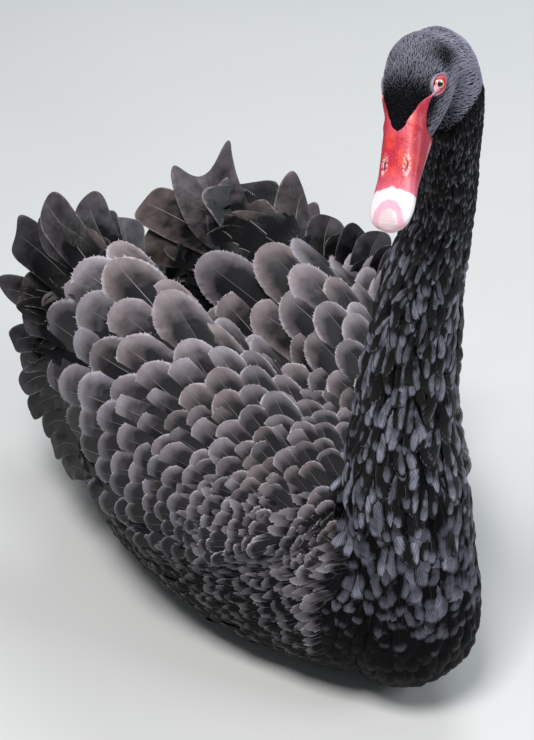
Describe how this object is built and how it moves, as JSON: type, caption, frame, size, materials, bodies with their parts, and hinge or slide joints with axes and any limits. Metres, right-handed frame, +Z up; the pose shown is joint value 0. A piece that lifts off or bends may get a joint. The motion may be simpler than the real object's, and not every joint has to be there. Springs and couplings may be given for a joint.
{
  "type": "black swan model",
  "caption": "Life-size still model of a black swan resting on its belly, neck upright, head turned to its right and wings half raised with curled rear feathers.",
  "frame": {"origin": "middle of the flat under the belly, on the floor", "axes": "+Z up, the bird faces -Y, its left side is +X"},
  "size_m": [0.3192, 0.6412, 0.6086],
  "materials": {
    "wing_feathers": "soft grey-brown feathers with pale fringes",
    "dark_feathers": "matt blackish feathers",
    "bill": "smooth red horn with a pale band and nail",
    "eye": "wet, glossy, red iris with a black pupil",
    "leg_skin": "dark grey scaly skin"
  },
  "bodies": {
    "root": {"torso": "dark_feathers", "neck_lower": "dark_feathers", "neck_upper": "dark_feathers", "head": "dark_feathers", "upper_bill": "bill", "lower_bill": "bill", "eye_left": "eye", "eye_right": "eye", "wing_left": "wing_feathers", "wing_right": "wing_feathers", "tail": "dark_feathers", "leg_left": "leg_skin", "leg_right": "leg_skin"}
  },
  "joints": []
}
